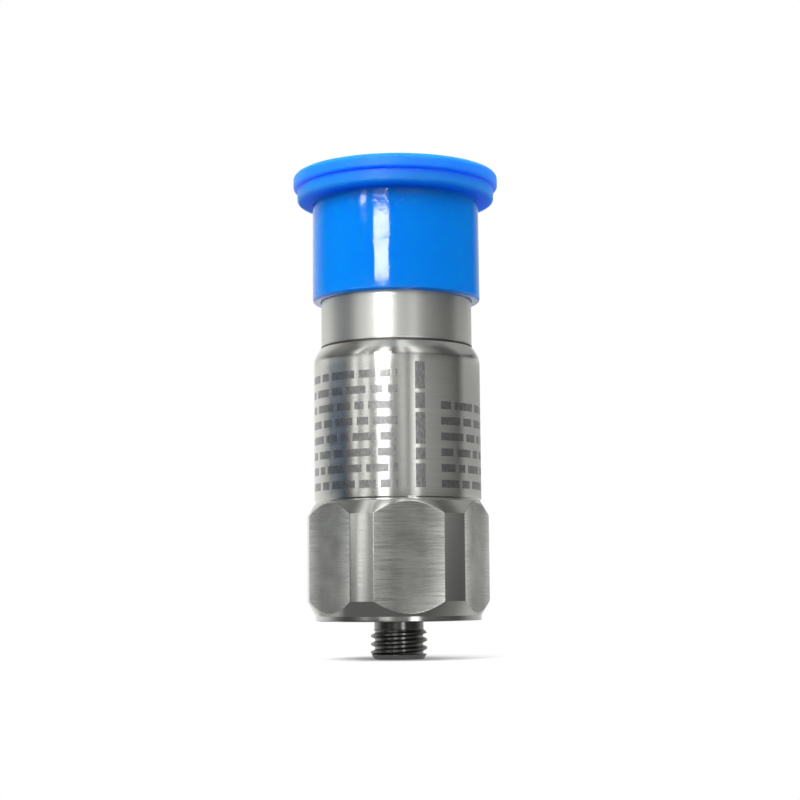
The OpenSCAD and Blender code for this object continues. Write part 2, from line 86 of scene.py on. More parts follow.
class SensorSizes(bpy.types.PropertyGroup):
    """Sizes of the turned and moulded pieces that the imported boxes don't give"""

    foot_diameter: bpy.props.FloatProperty(
        name="Foot diameter", description="Round foot under the hex", default=18.7 * MM, unit="LENGTH")
    foot_height: bpy.props.FloatProperty(
        name="Foot height", description="Height of the round foot", default=0.57 * MM, unit="LENGTH")
    hex_height: bpy.props.FloatProperty(
        name="Hex height", description="Mounting face to top of the hex", default=13.1 * MM, unit="LENGTH")
    cone_angle: bpy.props.FloatProperty(
        name="Cone angle", description="Cones on the hex, from the axis",
        default=math.radians(30), subtype="ANGLE")
    body_diameter: bpy.props.FloatProperty(
        name="Body diameter", description="Polished body", default=18.92 * MM, unit="LENGTH")
    undercut_width: bpy.props.FloatProperty(
        name="Undercut width", description="Groove between hex and body", default=0.4 * MM, unit="LENGTH")
    undercut_depth: bpy.props.FloatProperty(
        name="Undercut depth", description="Depth of that groove", default=0.12 * MM, unit="LENGTH")
    shoulder_height: bpy.props.FloatProperty(
        name="Shoulder height", description="Slope under the weld seam", default=1.15 * MM, unit="LENGTH")
    shoulder_round: bpy.props.FloatProperty(
        name="Shoulder round", description="Rounds slope into body", default=2.2 * MM, unit="LENGTH")
    mark_height: bpy.props.FloatProperty(
        name="Mark height", description="Lowest etched row on the body", default=14.45 * MM, unit="LENGTH")
    mark_step: bpy.props.FloatProperty(
        name="Mark step", description="One level of the etched grid", default=0.43 * MM, unit="LENGTH")
    bore_diameter: bpy.props.FloatProperty(
        name="Bore diameter", description="Bore of the housing", default=14.8 * MM, unit="LENGTH")
    bore_floor: bpy.props.FloatProperty(
        name="Bore floor", description="Height of the bore's floor", default=7.7 * MM, unit="LENGTH")
    tap_clearance: bpy.props.FloatProperty(
        name="Tap clearance", description="Room round the stud", default=0.05 * MM, unit="LENGTH")
    tap_depth: bpy.props.FloatProperty(
        name="Tap depth", description="Depth of the stud's hole", default=5.7 * MM, unit="LENGTH")
    tap_bevel: bpy.props.FloatProperty(
        name="Tap bevel", description="Bevel at the mouth of that hole", default=0.45 * MM, unit="LENGTH")
    flat_edge: bpy.props.FloatProperty(
        name="Flat edge", description="Deburred edge of the hex flats", default=0.07 * MM, unit="LENGTH")
    waist_diameter: bpy.props.FloatProperty(
        name="Waist diameter", description="Plain waist of the stud", default=5.56 * MM, unit="LENGTH")
    waist_below: bpy.props.FloatProperty(
        name="Waist below", description="Waist below the mounting face", default=0.96 * MM, unit="LENGTH")
    waist_above: bpy.props.FloatProperty(
        name="Waist above", description="Waist above the mounting face", default=0.6 * MM, unit="LENGTH")
    stud_bevel: bpy.props.FloatProperty(
        name="Stud bevel", description="Bevel at the stud's ends", default=0.4 * MM, unit="LENGTH")
    stud_pitch: bpy.props.FloatProperty(
        name="Stud pitch", description="28 threads to the inch", default=25.4 / 28 * MM, unit="LENGTH")
    stud_lead: bpy.props.FloatProperty(
        name="Stud lead", description="Plain cone at the free end", default=0.55 * MM, unit="LENGTH")
    key_flats: bpy.props.FloatProperty(
        name="Key flats", description="Key socket across its flats", default=3.175 * MM, unit="LENGTH")
    key_depth: bpy.props.FloatProperty(
        name="Key depth", description="Depth of the key socket", default=2.4 * MM, unit="LENGTH")
    neck_diameter: bpy.props.FloatProperty(
        name="Neck diameter", description="Smooth neck above the seam", default=17.17 * MM, unit="LENGTH")
    neck_length: bpy.props.FloatProperty(
        name="Neck length", description="Seam to the top of the neck", default=7.92 * MM, unit="LENGTH")
    seam_width: bpy.props.FloatProperty(
        name="Seam width", description="Weld groove under the neck", default=0.25 * MM, unit="LENGTH")
    seam_depth: bpy.props.FloatProperty(
        name="Seam depth", description="Depth of that groove", default=0.09 * MM, unit="LENGTH")
    neck_bevel: bpy.props.FloatProperty(
        name="Neck bevel", description="Upper edge of the neck", default=0.3 * MM, unit="LENGTH")
    thread_diameter: bpy.props.FloatProperty(
        name="Thread diameter", description="Connector thread", default=15.875 * MM, unit="LENGTH")
    thread_pitch: bpy.props.FloatProperty(
        name="Thread pitch", description="24 threads to the inch", default=25.4 / 24 * MM, unit="LENGTH")
    relief_width: bpy.props.FloatProperty(
        name="Relief width", description="Groove under the thread", default=1.1 * MM, unit="LENGTH")
    relief_depth: bpy.props.FloatProperty(
        name="Relief depth", description="Depth of that groove", default=0.7 * MM, unit="LENGTH")
    thread_bevel: bpy.props.FloatProperty(
        name="Thread bevel", description="Free end of the thread", default=0.5 * MM, unit="LENGTH")
    socket_diameter: bpy.props.FloatProperty(
        name="Socket diameter", description="Inside of the connector", default=12.2 * MM, unit="LENGTH")
    keyway_width: bpy.props.FloatProperty(
        name="Keyway width", description="Slot inside the connector", default=2.2 * MM, unit="LENGTH")
    keyway_depth: bpy.props.FloatProperty(
        name="Keyway depth", description="Depth of that slot", default=0.75 * MM, unit="LENGTH")
    keyway_length: bpy.props.FloatProperty(
        name="Keyway length", description="Slot length from the rim", default=6 * MM, unit="LENGTH")
    mouth_bevel: bpy.props.FloatProperty(
        name="Mouth bevel", description="Inner edge of the rim", default=0.3 * MM, unit="LENGTH")
    passage_diameter: bpy.props.FloatProperty(
        name="Passage diameter", description="Wires under the glass", default=9.4 * MM, unit="LENGTH")
    spigot_clearance: bpy.props.FloatProperty(
        name="Spigot clearance", description="Room round the spigot", default=0.05 * MM, unit="LENGTH")
    glass_gap: bpy.props.FloatProperty(
        name="Glass gap", description="Fused joint round the glass", default=0.02 * MM, unit="LENGTH")
    cap_gap: bpy.props.FloatProperty(
        name="Cap gap", description="Room between neck and cap", default=0.05 * MM, unit="LENGTH")
    cap_wall: bpy.props.FloatProperty(
        name="Cap wall", description="Wall of the skirt", default=0.94 * MM, unit="LENGTH")
    cap_draft: bpy.props.FloatProperty(
        name="Cap draft", description="Taper of the skirt", default=0.04 * MM, unit="LENGTH")
    step_overhang: bpy.props.FloatProperty(
        name="Step overhang", description="Lower disc past the skirt", default=1.72 * MM, unit="LENGTH")
    step_height: bpy.props.FloatProperty(
        name="Step height", description="Thickness of the lower disc", default=1.58 * MM, unit="LENGTH")
    head_height: bpy.props.FloatProperty(
        name="Head height", description="Thickness of the upper disc", default=1.62 * MM, unit="LENGTH")
    head_round: bpy.props.FloatProperty(
        name="Head round", description="Top edge of the upper disc", default=0.55 * MM, unit="LENGTH")
    disc_round: bpy.props.FloatProperty(
        name="Disc round", description="Lower edges of the cap's discs", default=0.3 * MM, unit="LENGTH")
    rim_round: bpy.props.FloatProperty(
        name="Rim round", description="Edge of the skirt's rim", default=0.35 * MM, unit="LENGTH")
    cap_roof: bpy.props.FloatProperty(
        name="Cap roof", description="Thickness of the cap's top", default=1.5 * MM, unit="LENGTH")
    cap_ledge: bpy.props.FloatProperty(
        name="Cap ledge", description="Ledge that stops on the rim", default=1.6 * MM, unit="LENGTH")
    gate_diameter: bpy.props.FloatProperty(
        name="Gate diameter", description="Dimple of the moulding gate", default=3 * MM, unit="LENGTH")
    gate_depth: bpy.props.FloatProperty(
        name="Gate depth", description="Depth of that dimple", default=0.3 * MM, unit="LENGTH")


class SensorColours(bpy.types.PropertyGroup):
    """Colours of the finishes"""

    polished_steel: bpy.props.FloatVectorProperty(
        name="Polished steel", description="Body and hex corners", size=3, subtype="COLOR",
        default=linear("#CFD0CA"))
    satin_steel: bpy.props.FloatVectorProperty(
        name="Satin steel", description="Neck and connector", size=3, subtype="COLOR",
        default=linear("#D8D9D3"))
    milled_steel: bpy.props.FloatVectorProperty(
        name="Milled steel", description="Flats of the hex", size=3, subtype="COLOR",
        default=linear("#CDCEC8"))
    etched_marks: bpy.props.FloatVectorProperty(
        name="Etched marks", description="Plain bars etched on the body", size=3, subtype="COLOR",
        default=linear("#9C9C9B"))
    dark_steel: bpy.props.FloatVectorProperty(
        name="Dark steel", description="Mounting stud", size=3, subtype="COLOR", default=linear("#959593"))
    cap_blue: bpy.props.FloatVectorProperty(
        name="Cap blue", description="Skirt of the cap", size=3, subtype="COLOR", default=linear("#0388EA"))
    # A bluer copy of the cap's blue for the discs, their undersides and the crease: painted shade that
    # deepens the blue where they lie in shade
    shade_painted_blue: bpy.props.FloatVectorProperty(
        name="Disc blue", description="Thick discs of the cap", size=3, subtype="COLOR",
        default=linear("#0388FF"))
    stage_white: bpy.props.FloatVectorProperty(
        name="Stage white", description="Floor and backdrop", size=3, subtype="COLOR",
        default=linear("#FFFFFF"))


# Modelling


def rounded(corners):
    """Outline through corners of (radius, height) or (radius, height, rounding)."""
    points = []
    last = len(corners) - 1
    for index, corner in enumerate(corners):
        here = Vector(corner[:2])
        if len(corner) == 2 or index in (0, last):
            points.append(here)
            continue
        rounding = corner[2]
        back = (Vector(corners[index - 1][:2]) - here).normalized()
        ahead = (Vector(corners[index + 1][:2]) - here).normalized()
        half = back.angle(ahead) / 2
        turn = math.pi - 2 * half
        centre = here + (back + ahead).normalized() * rounding / math.sin(half)
        start = here + back * rounding / math.tan(half) - centre
        end = here + ahead * rounding / math.tan(half) - centre
        steps = max(2, math.ceil(turn / ROUND_STEP))
        for step in range(steps + 1):
            share = step / steps
            across = start * math.sin((1 - share) * turn) + end * math.sin(share * turn)
            points.append(centre + across / math.sin(turn))
    return points


def trace(points, heading=0):
    """Draws an outline as edges in the upright plane at the heading, and stays in edit mode."""
    out = Vector((math.cos(heading), math.sin(heading), 0))
    up = Vector((0, 0, 1))
    places = [out * radius + up * height for radius, height in points]
    bpy.ops.object.select_all(action="DESELECT")
    bpy.ops.mesh.primitive_plane_add(size=MM)
    bpy.ops.object.mode_set(mode="EDIT")
    bpy.ops.mesh.select_mode(type="VERT")
    bpy.ops.mesh.select_all(action="SELECT")
    bpy.ops.mesh.merge(type="CENTER")
    bpy.ops.transform.translate(value=places[0])
    for before, place in zip(places, places[1:]):
        bpy.ops.mesh.extrude_vertices_move(TRANSFORM_OT_translate={"value": place - before})
    return bpy.context.object


def close_shell():
    """Welds the mesh that is being edited, turns its faces outwards and leaves edit mode."""
    bpy.ops.mesh.select_all(action="SELECT")
    bpy.ops.mesh.remove_doubles(threshold=WELD)
    bpy.ops.mesh.normals_make_consistent(inside=False)
    bpy.ops.object.mode_set(mode="OBJECT")


def lathe(points, heading=0, angle=math.tau, steps=SEGMENTS):
    """Spins an outline round the Z axis, counter-clockwise from the heading."""
    piece = trace(points, heading)
    bpy.ops.mesh.select_all(action="SELECT")
    bpy.ops.mesh.spin(steps=steps, angle=-angle, center=(0, 0, 0), axis=(0, 0, 1))
    close_shell()
    return piece


def select_only(piece):
    """Selects one piece and makes it active."""
    bpy.ops.object.select_all(action="DESELECT")
    piece.select_set(True)
    bpy.context.view_layer.objects.active = piece


def shift_mesh(piece, offset):
    """Moves the mesh of a piece whose object stays at the origin."""
    select_only(piece)
    bpy.ops.object.mode_set(mode="EDIT")
    bpy.ops.mesh.select_all(action="SELECT")
    bpy.ops.transform.translate(value=offset)
    bpy.ops.object.mode_set(mode="OBJECT")


def apply_modifier(piece, kind, **settings):
    """Adds a modifier with its settings and applies it."""
    select_only(piece)
    bpy.ops.object.modifier_add(type=kind)
    modifier = piece.modifiers[-1]
    for name, value in settings.items():
        setattr(modifier, name, value)
    bpy.ops.object.modifier_apply(modifier=modifier.name)


def combine(piece, tool, operation):
    """Joins, cuts or intersects a solid with another, which is used up."""
    apply_modifier(piece, "BOOLEAN", operation=operation, solver="EXACT", object=tool)
    bpy.data.objects.remove(tool)
    if not piece.data.polygons:
        raise RuntimeError(f"nothing is left of {piece.name} after {operation}")


# Half the width of a thread's ridge at its foot, and the width of a sharp crest, in pitches
RIDGE_HALF = 0.375
SHARP_CREST = 0.125
# How far the ridge is sunk into the core, as a share of its height
RIDGE_SUNK = 0.2


def thread_ridge(root, crest, pitch, low, high, crest_height, crest_share=SHARP_CREST):
    """A right-handed thread's ridge that passes low and high, with a crest at crest_height over +X."""
    base_half = RIDGE_HALF * pitch
    crest_half = crest_share * pitch / 2
    sunk = root - RIDGE_SUNK * (crest - root)
    start = crest_height - pitch * (math.ceil((crest_height - low) / pitch) + 1)
    turns = math.ceil((high - start) / pitch) + 1
    outline = [
        (sunk, start - base_half), (root, start - base_half), (crest, start - crest_half),
        (crest, start + crest_half), (root, start + base_half), (sunk, start + base_half),
    ]
    ridge = trace(outline + outline[:1])
    bpy.ops.mesh.select_all(action="SELECT")
    bpy.ops.mesh.remove_doubles(threshold=WELD)
    bpy.ops.object.mode_set(mode="OBJECT")
    apply_modifier(
        ridge, "SCREW", axis="Z", angle=math.tau, screw_offset=pitch, iterations=turns,
        steps=SMALL_SEGMENTS, render_steps=SMALL_SEGMENTS, use_merge_vertices=True, merge_threshold=WELD)
    bpy.ops.object.mode_set(mode="EDIT")
    bpy.ops.mesh.select_all(action="SELECT")
    bpy.ops.mesh.remove_doubles(threshold=WELD)
    bpy.ops.mesh.select_all(action="SELECT")
    bpy.ops.mesh.fill_holes(sides=0)
    close_shell()
    return ridge


def finish_piece(piece, name, materials):
    """Names a piece, gives it its finishes and smooths it up to the crisp edges."""
    piece.name = name
    piece.data.name = name
    for material in materials:
        piece.data.materials.append(material)
    select_only(piece)
    bpy.ops.object.shade_smooth_by_angle(angle=CRISP_ANGLE)
    apply_modifier(piece, "WEIGHTED_NORMAL", keep_sharp=True)
    return piece


# Materials

# Places of the colour sockets of a Mix node: two inputs and the output
MIX_A = 6
MIX_B = 7
MIX_RESULT = 2
# Most values of a noise lie in this range
NOISE_RANGE = {"From Min": 0.3, "From Max": 0.7}
# Turns the smear of a reflection from round the axis to along it
ALONG_AXIS = 0.25


def add_node(tree, kind, inputs=None, **settings):
    """Adds a node, sets its properties, and sets or links its inputs."""
    node = tree.nodes.new(kind)
    for name, value in settings.items():
        setattr(node, name, value)
    for key, value in (inputs or {}).items():
        if isinstance(value, bpy.types.NodeSocket):
            tree.links.new(value, node.inputs[key])
        else:
            node.inputs[key].default_value = value
    return node


def new_tree(name):
    """An empty material and its node tree."""
    material = bpy.data.materials.new(name)
    material.use_nodes = True
    material.node_tree.nodes.clear()
    return material, material.node_tree


def rgba(colour):
    """A colour with full alpha."""
    return (*colour, 1)


def shaded(colour, share):
    """A colour times a share, with full alpha."""
    return rgba([share * part for part in colour])


def stretched(tree, around, along):
    """Object coordinates in which a pattern is this long across the axis and along it."""
    coordinates = add_node(tree, "ShaderNodeTexCoord")
    scale = (1 / around, 1 / around, 1 / along)
    mapping = add_node(tree, "ShaderNodeMapping", {"Vector": coordinates.outputs["Object"], "Scale": scale})
    return mapping.outputs["Vector"]


def turned_stainless(name, colour, roughness, spread):
    """Stainless steel finished on a lathe: rings too fine to see smear reflections along the axis."""
    # Rings are drawn 0.12 mm apart so that they show
    material, tree = new_tree(name)
    rings = add_node(tree, "ShaderNodeTexNoise", {
        "Vector": stretched(tree, around=30 * MM, along=0.12 * MM), "Scale": 1.0, "Detail": 2.0})
    waves = add_node(tree, "ShaderNodeTexNoise", {
        "Vector": stretched(tree, around=5 * MM, along=9 * MM), "Scale": 1.0, "Detail": 1.0})
    rough = add_node(tree, "ShaderNodeMapRange", {
        **NOISE_RANGE, "Value": rings.outputs["Fac"],
        "To Min": roughness * 0.85, "To Max": roughness * 1.15})
    wavy = add_node(tree, "ShaderNodeBump", {
        "Strength": 1.0, "Distance": 0.008 * MM, "Height": waves.outputs["Fac"]})
    ringed = add_node(tree, "ShaderNodeBump", {
        "Strength": 1.0, "Distance": 0.0012 * MM, "Height": rings.outputs["Fac"],
        "Normal": wavy.outputs["Normal"]})
    tangent = add_node(tree, "ShaderNodeTangent", direction_type="RADIAL", axis="Z")
    shader = add_node(tree, "ShaderNodeBsdfPrincipled", {
        "Base Color": rgba(colour), "Metallic": 1.0, "Roughness": rough.outputs["Result"],
        "Anisotropic": spread, "Anisotropic Rotation": ALONG_AXIS, "Tangent": tangent.outputs["Tangent"],
        "Normal": ringed.outputs["Normal"]})
    add_node(tree, "ShaderNodeOutputMaterial", {"Surface": shader.outputs["BSDF"]})
    return material


def milled_stainless(colour, flat_distance, corner_radius):
    """Stainless flats with level cutter lines, rubbed brighter towards the upright edges."""
    # Cutter lines are drawn 0.12 mm apart so that they show
    material, tree = new_tree("Milled stainless steel")
    # Distance from the axis at which the rubbed zone starts
    rub_start = flat_distance + 0.12 * MM
    lines = add_node(tree, "ShaderNodeTexNoise", {
        "Vector": stretched(tree, around=5 * MM, along=0.12 * MM),
        "Scale": 1.0, "Detail": 3.0, "Roughness": 0.6})
    clouds = add_node(tree, "ShaderNodeTexNoise", {
        "Vector": stretched(tree, around=2.5 * MM, along=2 * MM), "Scale": 1.0, "Detail": 2.0})
    coordinates = add_node(tree, "ShaderNodeTexCoord")
    level = add_node(tree, "ShaderNodeVectorMath", {
        0: coordinates.outputs["Object"], 1: (1.0, 1.0, 0.0)}, operation="MULTIPLY")
    radius = add_node(tree, "ShaderNodeVectorMath", {0: level.outputs["Vector"]}, operation="LENGTH")
    rubbed = add_node(tree, "ShaderNodeMapRange", {
        "Value": radius.outputs["Value"], "From Min": rub_start, "From Max": corner_radius,
        "To Min": 0.0, "To Max": 1.2})
    streaks = add_node(tree, "ShaderNodeMath", {
        0: rubbed.outputs["Result"], 1: lines.outputs["Fac"]}, operation="MULTIPLY")
    cut = add_node(tree, "ShaderNodeMapRange", {
        **NOISE_RANGE, "Value": lines.outputs["Fac"], "To Min": 0.08, "To Max": 0.22})
    tone = add_node(tree, "ShaderNodeMapRange", {
        **NOISE_RANGE, "Value": clouds.outputs["Fac"], "To Min": -0.06, "To Max": 0.1})
    plain = add_node(tree, "ShaderNodeMath", {
        0: tone.outputs["Result"], 1: cut.outputs["Result"]}, operation="ADD")
    shade = add_node(tree, "ShaderNodeMath", {
        0: plain.outputs["Value"], 1: streaks.outputs["Value"]}, operation="ADD", use_clamp=True)
    base = add_node(tree, "ShaderNodeMix", {
        "Factor": shade.outputs["Value"], MIX_A: shaded(colour, 0.35), MIX_B: shaded(colour, 1.25)},
        data_type="RGBA")
    rough = add_node(tree, "ShaderNodeMapRange", {
        **NOISE_RANGE, "Value": lines.outputs["Fac"], "To Min": 0.24, "To Max": 0.32})
    bump = add_node(tree, "ShaderNodeBump", {
        "Strength": 1.0, "Distance": 0.004 * MM, "Height": lines.outputs["Fac"]})
    tangent = add_node(tree, "ShaderNodeTangent", direction_type="RADIAL", axis="Z")
    shader = add_node(tree, "ShaderNodeBsdfPrincipled", {
        "Base Color": base.outputs[MIX_RESULT], "Metallic": 1.0, "Roughness": rough.outputs["Result"],
        "Anisotropic": 0.5, "Anisotropic Rotation": ALONG_AXIS, "Tangent": tangent.outputs["Tangent"],
        "Normal": bump.outputs["Normal"]})
    add_node(tree, "ShaderNodeOutputMaterial", {"Surface": shader.outputs["BSDF"]})
    return material


def etched_oxide(colour):
    """Dark oxide left on the steel by a marking laser, in fine upright hatching."""
    material, tree = new_tree("Laser-etched oxide")
    hatching = add_node(tree, "ShaderNodeTexNoise", {
        "Vector": stretched(tree, around=0.12 * MM, along=0.5 * MM), "Scale": 1.0, "Detail": 1.0})
    depth = add_node(tree, "ShaderNodeMapRange", {
        "Value": hatching.outputs["Fac"], "From Min": 0.4, "From Max": 0.6, "To Min": 0.0, "To Max": 1.0})
    base = add_node(tree, "ShaderNodeMix", {
        "Factor": depth.outputs["Result"], MIX_A: shaded(colour, 0.7), MIX_B: rgba(colour)},
        data_type="RGBA")
    shader = add_node(tree, "ShaderNodeBsdfPrincipled", {
        "Base Color": base.outputs[MIX_RESULT], "Metallic": 1.0, "Roughness": 0.3})
    add_node(tree, "ShaderNodeOutputMaterial", {"Surface": shader.outputs["BSDF"]})
    return material


def weld_oxide():
    """The dull brown heat tint that a weld leaves in its groove."""
    return speckled("Weld heat tint", "#85807A", dark=0.5, grain=0.3, roughness=0.45, metallic=1.0)


def oiled_dark_steel(colour):
    """Dark heat-treated steel under a film of oil, with cut marks along the thread."""
    material, tree = new_tree("Oiled dark steel")
    marks = add_node(tree, "ShaderNodeTexNoise", {
        "Vector": stretched(tree, around=3 * MM, along=0.15 * MM), "Scale": 1.0, "Detail": 2.0})
    base = add_node(tree, "ShaderNodeMix", {
        "Factor": marks.outputs["Fac"], MIX_A: shaded(colour, 0.6), MIX_B: rgba(colour)},
        data_type="RGBA")
    bump = add_node(tree, "ShaderNodeBump", {
        "Strength": 1.0, "Distance": 0.004 * MM, "Height": marks.outputs["Fac"]})
    shader = add_node(tree, "ShaderNodeBsdfPrincipled", {
        "Base Color": base.outputs[MIX_RESULT], "Metallic": 1.0, "Roughness": 0.2,
        "Normal": bump.outputs["Normal"]})
    add_node(tree, "ShaderNodeOutputMaterial", {"Surface": shader.outputs["BSDF"]})
    return material


def moulded_polyethylene(name, colour, roughness, gloss, depth):
    """Moulded low-density polyethylene: light soaks in to the depth and comes out a deeper blue."""
    # Only the peaks of a fine noise make dimples, each less than half a millimetre wide
    material, tree = new_tree(name)
    peel = add_node(tree, "ShaderNodeTexNoise", {
        "Vector": stretched(tree, around=0.35 * MM, along=0.45 * MM), "Scale": 1.0, "Detail": 1.0})
    dimples = add_node(tree, "ShaderNodeMapRange", {
        "Value": peel.outputs["Fac"], "From Min": 0.52, "From Max": 0.77, "To Min": 0.0, "To Max": 1.0})
    flow = add_node(tree, "ShaderNodeTexNoise", {
        "Vector": stretched(tree, around=9 * MM, along=14 * MM), "Scale": 1.0, "Detail": 1.0})
    base = add_node(tree, "ShaderNodeMix", {
        "Factor": flow.outputs["Fac"], MIX_A: shaded(colour, 0.94), MIX_B: rgba(colour)},
        data_type="RGBA")
    bump = add_node(tree, "ShaderNodeBump", {
        "Strength": 1.0, "Distance": 0.003 * MM, "Height": dimples.outputs["Result"]}, invert=True)
    shader = add_node(tree, "ShaderNodeBsdfPrincipled", {
        "Base Color": base.outputs[MIX_RESULT], "Roughness": roughness, "IOR": 1.51,
        "Specular IOR Level": gloss, "Normal": bump.outputs["Normal"], "Subsurface Weight": 1.0,
        "Subsurface Radius": (0.02, 0.35, 1.0), "Subsurface Scale": depth})
    add_node(tree, "ShaderNodeOutputMaterial", {"Surface": shader.outputs["BSDF"]})
    return material


def speckled(name, code, dark, grain, roughness, metallic=0.0, relief=0.003):
    """A plain finish whose tone and surface vary with a grain, both grain and relief in millimetres."""
    material, tree = new_tree(name)
    colour = linear(code)
    noise = add_node(tree, "ShaderNodeTexNoise", {
        "Vector": stretched(tree, around=grain * MM, along=grain * MM), "Scale": 1.0, "Detail": 3.0})
    base = add_node(tree, "ShaderNodeMix", {
        "Factor": noise.outputs["Fac"], MIX_A: shaded(colour, dark), MIX_B: rgba(colour)},
        data_type="RGBA")
    bump = add_node(tree, "ShaderNodeBump", {
        "Strength": 1.0, "Distance": relief * MM, "Height": noise.outputs["Fac"]})
    shader = add_node(tree, "ShaderNodeBsdfPrincipled", {
        "Base Color": base.outputs[MIX_RESULT], "Metallic": metallic, "Roughness": roughness,
        "Normal": bump.outputs["Normal"]})
    add_node(tree, "ShaderNodeOutputMaterial", {"Surface": shader.outputs["BSDF"]})
    return material


def glowing_card(name, colour, strength):
    """A studio panel that shows as one even tone in reflections."""
    material, tree = new_tree(name)
    glow = add_node(tree, "ShaderNodeEmission", {"Color": rgba(colour), "Strength": strength})
    add_node(tree, "ShaderNodeOutputMaterial", {"Surface": glow.outputs["Emission"]})
    return material


def toned_card(name, tones):
    """A studio card whose tone changes with the direction from the object."""
    material, tree = new_tree(name)
    coordinates = add_node(tree, "ShaderNodeTexCoord")
    turned = add_node(tree, "ShaderNodeMapping", {
        "Vector": coordinates.outputs["Object"], "Rotation": (0, 0, -math.radians(CAMERA_AZIMUTH))})
    parts = add_node(tree, "ShaderNodeSeparateXYZ", {0: turned.outputs["Vector"]})
    front = add_node(tree, "ShaderNodeMath", {0: parts.outputs["Y"], 1: -1.0}, operation="MULTIPLY")
    direction = add_node(tree, "ShaderNodeMath", {
        0: parts.outputs["X"], 1: front.outputs["Value"]}, operation="ARCTAN2")
    share = add_node(tree, "ShaderNodeMapRange", {
        "Value": direction.outputs["Value"], "From Min": -math.pi, "From Max": math.pi})
    ramp = add_node(tree, "ShaderNodeValToRGB", {"Fac": share.outputs["Result"]})
    # A new ramp has a stop at either end already
    stops = ramp.color_ramp.elements
    last = len(tones) - 1
    for index, (degrees, tone) in enumerate(tones):
        if index == 0:
            stop = stops[0]
        elif index == last:
            stop = stops[-1]
        else:
            stop = stops.new((degrees + 180) / 360)
        stop.color = rgba([tone / BRIGHTEST] * 3)
    glow = add_node(tree, "ShaderNodeEmission", {"Color": ramp.outputs["Color"], "Strength": BRIGHTEST})
    add_node(tree, "ShaderNodeOutputMaterial", {"Surface": glow.outputs["Emission"]})
    return material


def shown_rays(tree):
    """A socket that is 1 for rays from the camera, off glossy surfaces and through clear ones."""
    path = add_node(tree, "ShaderNodeLightPath")
    seen = add_node(tree, "ShaderNodeMath", {
        0: path.outputs["Is Camera Ray"], 1: path.outputs["Is Glossy Ray"]}, operation="MAXIMUM")
    shown = add_node(tree, "ShaderNodeMath", {
        0: seen.outputs["Value"], 1: path.outputs["Is Transmission Ray"]}, operation="MAXIMUM")
    return shown.outputs["Value"]


# Pieces

# Rounding of a turned edge
TURNED_EDGE = 0.06 * MM
# A face whose middle is this close to a surface lies on it
FACE_TOLERANCE = 0.05 * MM
# A milled flat is one face with more corners than this
FLAT_CORNERS = 20
# Depth of the threads, in pitches
STUD_THREAD_DEPTH = 0.5
SHELL_THREAD_DEPTH = 0.6134
# Height of one crest of the stud's thread over +X, and the width of its blunt crests in pitches
STUD_CREST_HEIGHT = -3.03 * MM
BLUNT_CREST = 0.25
# Upright part of the normal of a face that looks up, and of one that looks down
LOOKS_UP = 0.5
LOOKS_DOWN = -0.8
# Levels of the etched grid, and how many of them a row takes with the gap above it
MARK_LEVELS = 32
ROW_LEVELS = 4
# Fields of bars, in columns of one face from the front flat: first column, last column, rows
MARK_FIELDS = ((-52, -4, 8), (14, 47, 6))
# Lengths of the bars in a row and the gap between them, in columns
BAR_LENGTHS = (9, 5, 12, 7, 4, 10, 6)
BAR_GAP = 2
# How many lengths further on the next row starts, and the height of a bar in levels
ROW_SHIFT = 3
BAR_LEVELS = 2
# Columns of the upright bar between the fields, and the levels at which it is broken
UPRIGHT_COLUMNS = range(3, 7)
UPRIGHT_BREAKS = (6, 10, 19, 24)


def etched_cells():
    """Cells of the grid, as (column, level), that are etched: rows of plain bars and an upright bar."""
    cells = {
        (column, level) for column in UPRIGHT_COLUMNS for level in range(MARK_LEVELS)
        if level not in UPRIGHT_BREAKS
    }
    for first, last, rows in MARK_FIELDS:
        for row in range(rows):
            column = first
            count = ROW_SHIFT * row
            while column < last:
                end = min(column + BAR_LENGTHS[count % len(BAR_LENGTHS)], last)
                for level in range(BAR_LEVELS):
                    cells.update((place, row * ROW_LEVELS + level) for place in range(column, end))
                count += 1
                column = end + BAR_GAP
    return cells


